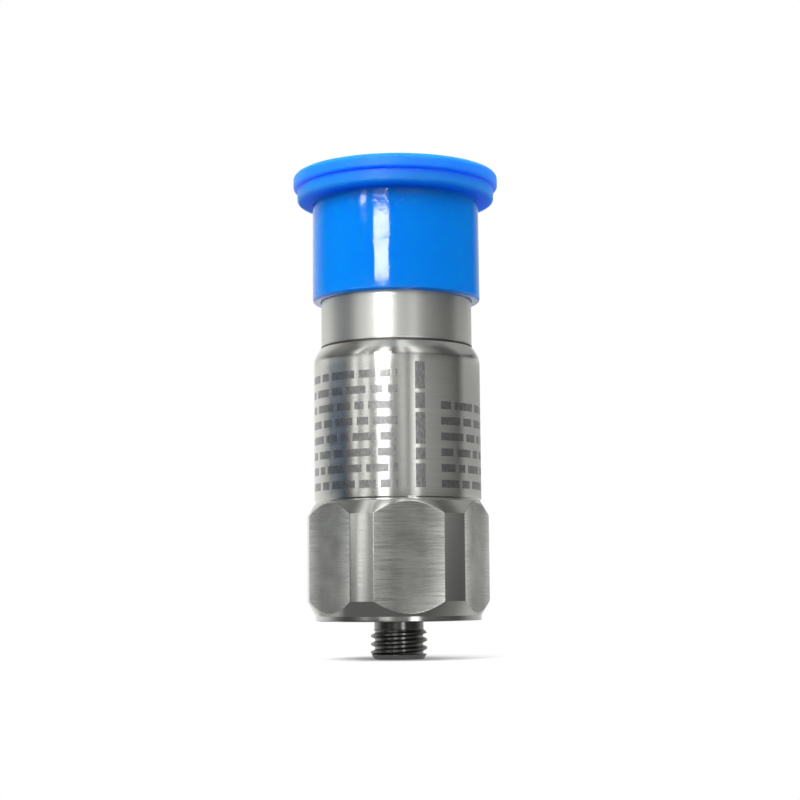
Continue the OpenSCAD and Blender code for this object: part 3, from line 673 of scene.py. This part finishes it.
class SENSOR_OT_housing(bpy.types.Operator):
    """Turns the housing, mills its six flats and etches plain bars on its body"""

    bl_idname = "sensor.housing"
    bl_label = "Housing"

    def execute(self, context):
        sizes = context.scene.sensor_sizes
        colours = context.scene.sensor_colours
        corner = HOUSING_HIGH.x
        flat = HOUSING_HIGH.y
        top = HOUSING_HIGH.z
        foot = sizes.foot_diameter / 2
        body = sizes.body_diameter / 2
        bore = sizes.bore_diameter / 2
        tap = STUD_HIGH.x + sizes.tap_clearance
        groove = body - sizes.undercut_depth
        groove_top = sizes.hex_height + sizes.undercut_width
        groove_side = sizes.undercut_width / 3
        slope = math.tan(sizes.cone_angle)
        lower_cone = sizes.foot_height + (corner - foot) / slope
        upper_cone = sizes.hex_height - (corner - body) / slope
        edge = TURNED_EDGE
        blank = lathe(rounded([
            (0, sizes.tap_depth), (tap, sizes.tap_depth), (tap, sizes.tap_bevel),
            (tap + sizes.tap_bevel, 0), (foot, 0, 2 * edge), (foot, sizes.foot_height, edge),
            (corner, lower_cone, edge), (corner, upper_cone, edge), (body, sizes.hex_height, edge),
            (groove, sizes.hex_height + groove_side, edge), (groove, groove_top - groove_side, edge),
            (body, groove_top, edge),
            *((body, sizes.mark_height + level * sizes.mark_step) for level in range(MARK_LEVELS + 1)),
            (body, top - sizes.shoulder_height, sizes.shoulder_round),
            (SHELL_HIGH.x, top, 2 * edge), (bore, top), (bore, sizes.bore_floor), (0, sizes.bore_floor),
        ]))
        bpy.ops.object.mode_set(mode="EDIT")
        for side in range(6):
            angle = math.radians(30 + 60 * side)
            outward = Vector((math.cos(angle), math.sin(angle), 0))
            bpy.ops.mesh.select_mode(type="FACE")
            bpy.ops.mesh.select_all(action="SELECT")
            bpy.ops.mesh.bisect(
                plane_co=outward * flat, plane_no=outward, use_fill=True, clear_outer=True,
                threshold=WELD / 10)
            bpy.ops.mesh.select_mode(type="EDGE")
            bpy.ops.mesh.region_to_loop()
            bpy.ops.mesh.bevel(offset=sizes.flat_edge, segments=2, affect="EDGES", clamp_overlap=True)
        close_shell()
        piece = finish_piece(blank, "turned_housing", [
            turned_stainless(
                "Polished stainless steel", colours.polished_steel, roughness=0.2, spread=0.75),
            milled_stainless(colours.milled_steel, flat, corner),
            etched_oxide(colours.etched_marks),
        ])
        milled = 1
        etched = 2
        cells = etched_cells()
        for face in piece.data.polygons:
            level_distance = face.center.xy.length * face.normal.xy.length
            column = math.floor(math.atan2(face.center.x, -face.center.y) / math.tau * SEGMENTS)
            level = math.floor((face.center.z - sizes.mark_height) / sizes.mark_step)
            if abs(level_distance - flat) < FACE_TOLERANCE and len(face.vertices) > FLAT_CORNERS:
                face.material_index = milled
            elif (column, level) in cells and abs(face.center.xy.length - body) < FACE_TOLERANCE:
                face.material_index = etched
        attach(piece, "sensor")
        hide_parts("housing")
        return {"FINISHED"}


class SENSOR_OT_mounting_stud(bpy.types.Operator):
    """Turns the stud, cuts its thread and broaches its key socket"""

    bl_idname = "sensor.mounting_stud"
    bl_label = "Mounting stud"

    def execute(self, context):
        sizes = context.scene.sensor_sizes
        crest = STUD_HIGH.x
        root = crest - STUD_THREAD_DEPTH * sizes.stud_pitch
        waist = sizes.waist_diameter / 2
        low = STUD_LOW.z
        high = STUD_HIGH.z
        below = -sizes.waist_below
        above = sizes.waist_above
        bevel = sizes.stud_bevel
        lead = low + sizes.stud_lead
        # Height of the cones between the waist and the core
        cone = 2 * (waist - root)
        lead_edge = 0.04 * MM
        # The lead stays this far inside the crests, and the thread starts as far below its top
        slack = 0.05 * MM
        # Height of the cone above the lead, rounding of the waist, and reach of the envelope into the core
        runout = 0.1 * MM
        piece = lathe(rounded([
            (0, low), (crest - bevel, low, TURNED_EDGE), (crest - slack, lead, lead_edge),
            (root, lead + runout), (root, below - cone), (waist, below, runout),
            (waist, above), (root, above + cone), (root, high), (0, high),
        ]))
        envelope = lathe([
            (0, lead - slack), (crest, lead - slack), (crest, below - (crest - waist)),
            (waist, below), (root - runout, below), (root - runout, above), (waist, above),
            (crest, above + crest - waist), (crest, high - bevel), (crest - bevel, high), (0, high),
        ])
        ridge = thread_ridge(
            root, crest, sizes.stud_pitch, low, high, STUD_CREST_HEIGHT, crest_share=BLUNT_CREST)
        combine(ridge, envelope, "INTERSECT")
        combine(piece, ridge, "UNION")
        bpy.ops.object.select_all(action="DESELECT")
        bpy.ops.mesh.primitive_cylinder_add(
            vertices=6, radius=sizes.key_flats / math.sqrt(3), depth=2 * sizes.key_depth,
            location=(0, 0, low))
        combine(piece, context.object, "DIFFERENCE")
        finish_piece(piece, "threaded_stud", [oiled_dark_steel(context.scene.sensor_colours.dark_steel)])
        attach(piece, "sensor")
        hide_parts("mounting_stud")
        return {"FINISHED"}


class SENSOR_OT_connector_shell(bpy.types.Operator):
    """Turns the neck and the barrel of the connector, cuts its thread and its keyway"""

    bl_idname = "sensor.connector_shell"
    bl_label = "Connector shell"

    def execute(self, context):
        sizes = context.scene.sensor_sizes
        seam = HOUSING_HIGH.z
        top = SHELL_HIGH.z
        neck = sizes.neck_diameter / 2
        neck_top = seam + sizes.neck_length
        crest = sizes.thread_diameter / 2
        root = crest - SHELL_THREAD_DEPTH * sizes.thread_pitch
        relief = crest - sizes.relief_depth
        thread_low = neck_top + sizes.relief_width
        socket = sizes.socket_diameter / 2
        glass = GLASS_HIGH.x + sizes.glass_gap
        groove = neck - sizes.seam_depth
        lip = seam + sizes.seam_width
        passage = sizes.passage_diameter / 2
        bore_edge = sizes.bore_diameter / 2
        spigot = bore_edge - sizes.spigot_clearance
        spigot_edge = 0.2 * MM
        # The lip above the weld: how far it stands out, its slope, its edges and the blend into the neck
        lip_reach = 0.05 * MM
        lip_slope = 0.04 * MM
        lip_edge = 0.03 * MM
        blend_height = 0.2 * MM
        blend_round = 0.3 * MM
        relief_round = 0.15 * MM
        mouth_edge = 0.1 * MM
        outline = [
            (passage, SHELL_LOW.z), (spigot, SHELL_LOW.z, spigot_edge), (spigot, seam),
            (groove, seam), (groove, lip - lip_slope, lip_edge), (neck + lip_reach, lip, lip_edge),
            (neck, lip + blend_height, blend_round), (neck, neck_top, sizes.neck_bevel),
            (relief, neck_top, relief_round), (relief, thread_low), (root, thread_low + (root - relief)),
            (root, top), (socket + sizes.mouth_bevel, top, mouth_edge), (socket, top - sizes.mouth_bevel),
            (socket, GLASS_HIGH.z), (glass, GLASS_HIGH.z), (glass, GLASS_LOW.z), (passage, GLASS_LOW.z),
        ]
        piece = lathe(rounded(outline + outline[:1]))
        bevel = sizes.thread_bevel
        envelope = lathe([
            (0, thread_low), (relief, thread_low), (crest, thread_low + sizes.relief_depth),
            (crest, top - bevel), (crest - bevel, top), (0, top),
        ])
        ridge = thread_ridge(root, crest, sizes.thread_pitch, thread_low, top, thread_low)
        combine(ridge, envelope, "INTERSECT")
        combine(piece, ridge, "UNION")
        keyway_reach = socket + sizes.keyway_depth
        bpy.ops.object.select_all(action="DESELECT")
        bpy.ops.mesh.primitive_cube_add(
            size=1, location=(0, keyway_reach / 2, top),
            scale=(sizes.keyway_width, keyway_reach, 2 * sizes.keyway_length))
        combine(piece, context.object, "DIFFERENCE")
        steel = context.scene.sensor_colours.satin_steel
        finish_piece(piece, "threaded_shell", [
            turned_stainless("Satin stainless steel", steel, roughness=0.36, spread=0.4),
            weld_oxide(),
        ])
        welded = 1
        for face in piece.data.polygons:
            if seam < face.center.z < lip and face.center.xy.length > bore_edge:
                face.material_index = welded
        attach(piece, "sensor")
        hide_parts("connector_shell")
        return {"FINISHED"}


class SENSOR_OT_glass_header(bpy.types.Operator):
    """Fills the connector's floor with a fused glass disc that creeps up at its edge"""

    bl_idname = "sensor.glass_header"
    bl_label = "Glass header"

    def execute(self, context):
        glass = GLASS_HIGH.x
        pin = (PIN_HIGH.x - PIN_LOW.x) / 2 + context.scene.sensor_sizes.glass_gap
        dip = 0.12 * MM
        drill_length = 10 * MM
        drill_sides = 48
        piece = lathe(rounded([
            (0, GLASS_LOW.z), (glass, GLASS_LOW.z), (glass, GLASS_HIGH.z),
            (glass - 3 * dip, GLASS_HIGH.z - dip, 2 * dip), (0, GLASS_HIGH.z - dip),
        ]))
        for side in (-1, 1):
            bpy.ops.object.select_all(action="DESELECT")
            bpy.ops.mesh.primitive_cylinder_add(
                vertices=drill_sides, radius=pin, depth=drill_length,
                location=(side * (PIN_HIGH.x + PIN_LOW.x) / 2, 0, GLASS_HIGH.z))
            combine(piece, context.object, "DIFFERENCE")
        finish_piece(piece, "fused_glass", [
            speckled("Fused seal glass", "#33524D", dark=0.7, grain=1.5, roughness=0.08),
        ])
        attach(piece, "sensor")
        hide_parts("glass_seal")
        return {"FINISHED"}


class SENSOR_OT_contact_pins(bpy.types.Operator):
    """Turns one round-nosed contact pin and copies it"""

    bl_idname = "sensor.contact_pins"
    bl_label = "Contact pins"

    def execute(self, context):
        radius = (PIN_HIGH.x - PIN_LOW.x) / 2
        spread = (PIN_HIGH.x + PIN_LOW.x) / 2
        tail_edge = 0.15 * MM
        # Just under the full radius, so that a small flat is left at the tip
        nose_round = 0.97 * radius
        first = lathe(rounded([
            (0, PIN_LOW.z), (radius, PIN_LOW.z, tail_edge), (radius, PIN_HIGH.z, nose_round),
            (0, PIN_HIGH.z),
        ]), steps=SMALL_SEGMENTS)
        second = first.copy()
        second.data = first.data.copy()
        context.collection.objects.link(second)
        gold = speckled("Gold plate", "#DDBB6A", dark=0.85, grain=0.4, roughness=0.2, metallic=1.0)
        for piece, side, name, node in (
                (first, -1, "pin_left", "contact_pin_a"), (second, 1, "pin_right", "contact_pin_b")):
            shift_mesh(piece, (side * spread, 0, 0))
            finish_piece(piece, name, [gold])
            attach(piece, "sensor")
            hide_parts(node)
        return {"FINISHED"}


class SENSOR_OT_dust_cap(bpy.types.Operator):
    """Moulds the push-on cap: a drafted skirt under two stepped discs"""

    bl_idname = "sensor.dust_cap"
    bl_label = "Dust cap"

    def execute(self, context):
        sizes = context.scene.sensor_sizes
        rim = CAP_LOW.z
        top = CAP_HIGH.z
        head = CAP_HIGH.x
        bore = sizes.neck_diameter / 2 + sizes.cap_gap
        skirt = bore + sizes.cap_wall
        step = skirt + sizes.step_overhang
        head_low = top - sizes.head_height
        seat = head_low - sizes.step_height
        edge = sizes.disc_round
        gate = sizes.gate_diameter / 2
        gate_floor = top - sizes.gate_depth
        # The pip that the moulding gate leaves in its dimple
        pip_foot = 0.3 * gate
        pip_top = 0.25 * gate
        small = 0.12 * MM
        piece = lathe(rounded([
            (0, top - sizes.cap_roof), (bore - sizes.cap_ledge, top - sizes.cap_roof, small),
            (bore - sizes.cap_ledge, seat), (bore, seat, small), (bore, rim, small),
            (skirt, rim, sizes.rim_round), (skirt - sizes.cap_draft, seat, 2 * small),
            (step, seat, 1.5 * edge), (step, head_low, small), (head, head_low, edge),
            (head, top, sizes.head_round),
            (gate, top, small), (gate - small, gate_floor, small), (pip_foot, gate_floor),
            (pip_top, gate_floor + small, small / 2), (0, gate_floor + small),
        ]))
        blue = context.scene.sensor_colours.cap_blue
        # The bluer copy of the cap's blue, painted shade for the discs and their shaded undersides
        shade_blue = context.scene.sensor_colours.shade_painted_blue
        finish_piece(piece, "moulded_cap", [
            moulded_polyethylene("Glossy polyethylene", blue, roughness=0.05, gloss=0.5, depth=0.6 * MM),
            moulded_polyethylene("Satin polyethylene", shade_blue, roughness=0.42, gloss=0.33, depth=6 * MM),
            moulded_polyethylene("Dull polyethylene", shade_blue, roughness=0.6, gloss=0.1, depth=10 * MM),
        ])
        satin = 1
        dull = 2
        # The skirt is glossy, the discs are satin, and the crease and the step's underside are dull
        # The satin and dull finishes use that bluer copy, so a deeper blue of shade is painted on the
        # discs, the crease and the underside
        crease = 2.5 * small
        outside = skirt - 1.5 * sizes.cap_draft
        for face in piece.data.polygons:
            radius = face.center.xy.length
            if face.normal.z > LOOKS_UP:
                face.material_index = satin
            elif face.center.z > seat - crease and radius > outside:
                in_crease = radius < skirt + crease
                under_step = face.normal.z < LOOKS_DOWN and face.center.z < head_low - small
                face.material_index = dull if in_crease or under_step else satin
        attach(piece, "cap")
        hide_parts("dust_cap")
        return {"FINISHED"}


class SENSOR_OT_inner_finishes(bpy.types.Operator):
    """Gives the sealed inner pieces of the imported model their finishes"""

    bl_idname = "sensor.inner_finishes"
    bl_label = "Inner finishes"

    def execute(self, context):
        # Each with its colour, the tone of its dark grains, the grain in millimetres and the roughness
        finishes = {
            "amber_film": speckled("Polyimide film", "#C98A3A", 0.85, 2.0, 0.3),
            "alumina": speckled("Sintered alumina", "#F1EEE6", 0.92, 0.08, 0.55),
            "brass": speckled("Turned brass", "#D9B56A", 0.85, 0.3, 0.28, metallic=1.0),
            "piezo_ceramic": speckled("Lapped piezo ceramic", "#D6C7A0", 0.88, 0.1, 0.5),
            "heavy_alloy": speckled("Ground tungsten alloy", "#8C8C90", 0.8, 0.12, 0.35, metallic=1.0),
            "satin_steel": speckled("Spring steel", "#C4C1BA", 0.88, 0.2, 0.25, metallic=1.0),
            "black_plastic": speckled("Moulded epoxy", "#1E1E20", 0.7, 0.1, 0.5),
            "board_laminate": speckled("Solder mask on laminate", "#1F6B45", 0.8, 0.4, 0.35),
            "tan_ceramic": speckled("Fired capacitor ceramic", "#B39B7C", 0.88, 0.1, 0.5),
            "copper_wire": speckled("Drawn copper", "#D08A66", 0.85, 0.2, 0.25, metallic=1.0),
        }
        slots = {part["node"]: part["material_slot"] for part in frame["record"]["subparts"]}
        for name, node in frame["nodes"].items():
            if node.hide_render:
                continue
            node.data.materials.clear()
            node.data.materials.append(finishes[slots[name]])
        return {"FINISHED"}


# Stage

# Directions from the object are given in degrees from the camera's side, left negative.
# The camera itself stands this far round from the front, in degrees.
CAMERA_AZIMUTH = -7.16
# The camera's distance from the axis and its height
CAMERA_DISTANCE = 196.43 * MM
CAMERA_HEIGHT = 3.51 * MM
# How far the camera is tilted up, turned aside and rolled, in degrees
CAMERA_TILT = 6.23
CAMERA_TURN = -0.1
CAMERA_ROLL = -0.5
# Focal length and film width in millimetres, and the range of distances that the camera sees
CAMERA_LENS = 77.94
FILM_WIDTH = 36
CAMERA_NEAR = 10 * MM
CAMERA_FAR = 10
# Square lamps: name, direction, height, distance, size in metres, brightness
LAMPS = (
    ("key", -33, 260 * MM, 300 * MM, 0.25, 7.0),
    ("fill", 105, 160 * MM, 320 * MM, 0.25, 3.0),
)
# Height on the axis at which the lamps aim
LAMP_TARGET = 30 * MM
# Width of the floor in metres, and the distances between which its shadow fades out
FLOOR_WIDTH = 4
SHADOW_START = 5 * MM
SHADOW_END = 20 * MM
# Tones of the cards round the object, as (direction, brightness), which make the bands on the steel
BODY_TONES = (
    (-180, 1.05), (-162, 1.0), (-150, 0.95), (-135, 0.95), (-122, 0.8), (-112, 0.42), (-96, 0.16),
    (-76, 0.09), (-71, 0.18), (-64, 0.4), (-59, 1.4), (-55, 1.5), (-52, 0.3), (-48, 0.35), (-42, 1.3),
    (-38.5, 1.3), (-36, 0.28), (-27, 0.37), (-24, 2.4), (-12.5, 2.4), (-10, 0.3), (-1.5, 0.25), (8, 0.95),
    (15.5, 0.3), (20.5, 1.3), (26, 2.1), (31, 0.52), (40, 0.48), (69, 0.31), (91, 0.14), (104, 0.4),
    (180, 0.45),
)
# What differs for the hex, for the neck, and for the shoulder with the discs of the cap
HEX_CHANGES = {
    -112: 1.0, -96: 0.7, -71: 0.06, -64: 0.06, -59: 0.2, -55: 0.3, -52: 0.6, -48: 2.3, -42: 1.3,
    -38.5: 0.85, -36: 0.6, 8: 0.13, 15.5: 0.13, 20.5: 0.6, 26: 1.0, 31: 0.35, 40: 0.25, 69: 0.15,
    104: 0.75, 180: 0.8,
}
NECK_CHANGES = {
    -150: 0.7, -135: 0.8, -122: 1.2, -112: 1.5, -96: 0.9, -76: 0.6, -71: 0.6, -64: 0.8, -52: 1.6,
    -48: 1.8, -42: 2.0, -38.5: 2.0, -36: 2.0, -27: 2.2, -10: 2.0, -1.5: 1.4, 8: 0.9, 15.5: 0.4,
    20.5: 0.7, 26: 1.1, 31: 0.35, 40: 0.3, 69: 0.2, 91: 0.1, 104: 0.7, 180: 0.7,
}
UPPER_CHANGES = {
    -135: 0.75, -122: 0.5, -112: 0.25, -96: 0.25, -76: 0.15, -42: 0.8, -38.5: 0.7, -24: 1.8, -12.5: 2.0,
    -10: 0.15, -1.5: 0.1, 8: 1.4, 20.5: 1.0, 26: 1.7, 31: 1.2, 40: 0.45, 69: 0.1,
}
# The stud mirrors a dark floor with one strip that is bright close by
STUD_TONES = (
    (-180, 1.0), (-130, 0.9), (-105, 0.55), (-90, 0.15), (-75, 0.06), (-18, 0.06), (-14, 0.35),
    (-9, 0.35), (-5, 0.2), (12.5, 0.2), (14.5, 3.0), (23.5, 3.0), (26, 0.1), (80, 0.06), (97, 0.15),
    (114, 0.4), (140, 0.6), (180, 1.0),
)
# The strip is dimmer on the floor further off
FAR_CHANGES = {14.5: 0.6, 23.5: 0.6}
# The skirt of the cap mirrors a dark band in front and white behind
SKIRT_TONES = (
    (-180, 1.0), (-149, 0.9), (-132, 0.6), (-120, 0.28), (-110, 0.04), (129, 0.04), (144, 0.35),
    (158, 0.6), (180, 1.0),
)
# The shoulder and the cones of the hex mirror the zenith and the mat
ZENITH_TONES = (
    (-180, 0.5), (-125, 0.15), (-93, 0.2), (-70, 0.8), (-52, 1.05), (-41, 0.5), (-29, 0.75),
    (-20, 0.55), (-3, 0.4), (6, 1.1), (15, 1.2), (29, 1.0), (38, 0.5), (60, 0.3), (91, 0.35),
    (118, 0.7), (135, 0.3), (180, 0.5),
)
MAT_TONES = (
    (-180, 0.5), (-110, 0.4), (-72, 0.5), (-60, 0.15), (30, 0.12), (60, 0.25), (90, 0.6), (120, 0.6),
    (180, 0.5),
)
# The brightest tone that a toned card can have
BRIGHTEST = 3.0


def changed(tones, changes):
    """The same tones with another brightness in some directions."""
    return tuple((direction, changes.get(direction, tone)) for direction, tone in tones)


# Cards that go all the way round, as an outline of (radius, height) in millimetres
RINGS = (
    ("mat", ((4, -4.2), (20, -4.2)), MAT_TONES),
    ("stud_floor", ((20, -4.2), (72, -4.2)), STUD_TONES),
    ("far_floor", ((72, -4.2), (150, -4.2), (150, 1.5)), changed(STUD_TONES, FAR_CHANGES)),
    ("hex_wall", ((150, 1.5), (150, 18)), changed(BODY_TONES, HEX_CHANGES)),
    ("body_wall", ((150, 18), (150, 49)), BODY_TONES),
    ("neck_wall", ((150, 49), (150, 60.5)), changed(BODY_TONES, NECK_CHANGES)),
    ("skirt_wall", ((150, 60.5), (150, 81.2)), SKIRT_TONES),
    ("upper_wall", ((150, 81.2), (150, 110), (120, 190)), changed(BODY_TONES, UPPER_CHANGES)),
    ("zenith", ((120, 190), (0, 260)), ZENITH_TONES),
)
# Cards in front of the walls: name, from, to, low, high in millimetres, colour, brightness
PANELS = (
    ("window_top", -29, -8.5, 71.7, 76.8, (1.0, 1.0, 1.0), 21.0),
    ("window_low", -28, -9.5, 63.3, 70.9, (1.0, 1.0, 1.0), 19.0),
    ("bulb", -48, -39, 78.1, 79.3, (1.0, 1.0, 1.0), 21.0),
    ("navy_screen", -104, -73, 18, 49, (0.06, 0.105, 0.185), 1.0),
)
PANEL_RADIUS = 148 * MM
# Degrees that one face of a card takes up
CARD_STEP = 4


def heading_of(azimuth):
    """Angle from +X of a direction given in degrees from the camera's side."""
    return math.radians(azimuth + CAMERA_AZIMUTH - 90)


class SENSOR_OT_stage(bpy.types.Operator):
    """Sets the floor, the white surround, the cards, the lamps and the camera"""

    bl_idname = "sensor.stage"
    bl_label = "Stage"

    def card(self, name, outline, start, end, material):
        """Adds a card that shows only in reflections and through glass."""
        steps = max(1, round((end - start) / CARD_STEP))
        card = lathe(outline, heading_of(start), math.radians(end - start), steps)
        card.name = name
        card.data.materials.append(material)
        card.visible_camera = False
        card.visible_diffuse = False
        card.visible_shadow = False

    def floor(self, white, height):
        """Adds the floor, which keeps the object's shadow close by and is plain white further off."""
        bpy.ops.object.select_all(action="DESELECT")
        bpy.ops.mesh.primitive_plane_add(size=FLOOR_WIDTH)
        floor = bpy.context.object
        floor.name = "floor"
        shift_mesh(floor, (0, 0, height))
        material, tree = new_tree("White floor")
        coordinates = add_node(tree, "ShaderNodeTexCoord")
        distance = add_node(
            tree, "ShaderNodeVectorMath", {0: coordinates.outputs["Object"]}, operation="LENGTH")
        far = add_node(tree, "ShaderNodeMapRange", {
            "Value": distance.outputs["Value"], "From Min": SHADOW_START, "From Max": SHADOW_END,
            "To Min": 0.0, "To Max": 1.0}, interpolation_type="SMOOTHSTEP")
        blend = add_node(tree, "ShaderNodeMath", {
            0: far.outputs["Result"], 1: shown_rays(tree)}, operation="MULTIPLY")
        matt = add_node(tree, "ShaderNodeBsdfDiffuse", {"Color": shaded(white, 0.9)})
        glow = add_node(tree, "ShaderNodeEmission", {"Color": rgba(white), "Strength": 1.0})
        mixed = add_node(tree, "ShaderNodeMixShader", {
            0: blend.outputs["Value"], 1: matt.outputs["BSDF"], 2: glow.outputs["Emission"]})
        add_node(tree, "ShaderNodeOutputMaterial", {"Surface": mixed.outputs["Shader"]})
        floor.data.materials.append(material)
        floor.visible_diffuse = False

    def surround(self, white):
        """Makes the world white where it is seen, and a light that is dimmer from below."""
        world = bpy.data.worlds.new("White surround")
        bpy.context.scene.world = world
        world.use_nodes = True
        tree = world.node_tree
        tree.nodes.clear()
        coordinates = add_node(tree, "ShaderNodeTexCoord")
        parts = add_node(tree, "ShaderNodeSeparateXYZ", {0: coordinates.outputs["Generated"]})
        ambient = add_node(tree, "ShaderNodeMapRange", {
            "Value": parts.outputs["Z"], "From Min": -0.1, "From Max": 0.4, "To Min": 0.3, "To Max": 1.0})
        soft = add_node(tree, "ShaderNodeBackground", {
            "Color": rgba(white), "Strength": ambient.outputs["Result"]})
        clear = add_node(tree, "ShaderNodeBackground", {"Color": rgba(white), "Strength": 1.0})
        mixed = add_node(tree, "ShaderNodeMixShader", {
            0: shown_rays(tree), 1: soft.outputs["Background"], 2: clear.outputs["Background"]})
        add_node(tree, "ShaderNodeOutputWorld", {"Surface": mixed.outputs["Shader"]})

    def soft_lamp(self, name, azimuth, height, distance, size, brightness):
        """Adds a square lamp that aims at the object and doesn't show in reflections."""
        heading = heading_of(azimuth)
        target = Vector((0, 0, LAMP_TARGET))
        place = Vector((distance * math.cos(heading), distance * math.sin(heading), height))
        bpy.ops.object.light_add(type="AREA", location=place)
        lamp = bpy.context.object
        lamp.name = name
        lamp.rotation_euler = (target - place).to_track_quat("-Z", "Y").to_euler()
        lamp.data.size = size
        # The power at which the lamp's face has that brightness
        lamp.data.energy = brightness * math.pi * size * size
        lamp.visible_glossy = False

    def camera(self):
        """Adds the camera, low in front of the object and tilted up a little."""
        heading = heading_of(0)
        yaw = Matrix.Rotation(math.radians(CAMERA_AZIMUTH + CAMERA_TURN), 4, "Z")
        pitch = Matrix.Rotation(math.radians(90 + CAMERA_TILT), 4, "X")
        roll = Matrix.Rotation(math.radians(CAMERA_ROLL), 4, "Z")
        bpy.ops.object.camera_add(location=(
            CAMERA_DISTANCE * math.cos(heading), CAMERA_DISTANCE * math.sin(heading), CAMERA_HEIGHT))
        camera = bpy.context.object
        camera.rotation_euler = (yaw @ pitch @ roll).to_euler()
        camera.data.sensor_width = FILM_WIDTH
        camera.data.lens = CAMERA_LENS
        camera.data.clip_start = CAMERA_NEAR
        camera.data.clip_end = CAMERA_FAR
        bpy.context.scene.camera = camera

    def execute(self, context):
        white = context.scene.sensor_colours.stage_white
        self.floor(white, STUD_LOW.z)
        self.surround(white)
        for name, outline, tones in RINGS:
            points = [(radius * MM, height * MM) for radius, height in outline]
            self.card(name, points, -180, 180, toned_card(f"Tones of {name}", tones))
        for name, start, end, low, high, colour, brightness in PANELS:
            points = [(PANEL_RADIUS, low * MM), (PANEL_RADIUS, high * MM)]
            self.card(name, points, start, end, glowing_card(f"Tone of {name}", colour, brightness))
        for lamp in LAMPS:
            self.soft_lamp(*lamp)
        self.camera()
        context.scene.view_settings.view_transform = "Standard"
        return {"FINISHED"}


class SENSOR_PT_panel(bpy.types.Panel):
    """Lists the sensor's pieces, sizes and colours in the sidebar"""

    bl_label = "Vibration sensor"
    bl_space_type = "VIEW_3D"
    bl_region_type = "UI"
    bl_category = "Sensor"

    def draw(self, context):
        layout = self.layout
        for operator in OPERATORS:
            layout.operator(operator.bl_idname)
        for group in (context.scene.sensor_sizes, context.scene.sensor_colours):
            column = layout.column()
            for name in group.__annotations__:
                column.prop(group, name)


GROUPS = (SensorSizes, SensorColours)
OPERATORS = (
    SENSOR_OT_housing, SENSOR_OT_mounting_stud, SENSOR_OT_connector_shell, SENSOR_OT_glass_header,
    SENSOR_OT_contact_pins, SENSOR_OT_dust_cap, SENSOR_OT_inner_finishes, SENSOR_OT_stage,
)
CLASSES = (*GROUPS, *OPERATORS, SENSOR_PT_panel)


def register():
    """Registers the classes and hangs the settings on the scene."""
    for cls in CLASSES:
        bpy.utils.register_class(cls)
    bpy.types.Scene.sensor_sizes = bpy.props.PointerProperty(type=SensorSizes)
    bpy.types.Scene.sensor_colours = bpy.props.PointerProperty(type=SensorColours)


def unregister():
    """Takes the settings and the classes away again."""
    del bpy.types.Scene.sensor_colours
    del bpy.types.Scene.sensor_sizes
    for cls in reversed(CLASSES):
        bpy.utils.unregister_class(cls)


def main():
    """Builds the pieces and the stage."""
    register()
    bpy.ops.sensor.housing()
    bpy.ops.sensor.mounting_stud()
    bpy.ops.sensor.connector_shell()
    bpy.ops.sensor.glass_header()
    bpy.ops.sensor.contact_pins()
    bpy.ops.sensor.dust_cap()
    bpy.ops.sensor.inner_finishes()
    bpy.ops.sensor.stage()


if __name__ == "__main__":
    main()
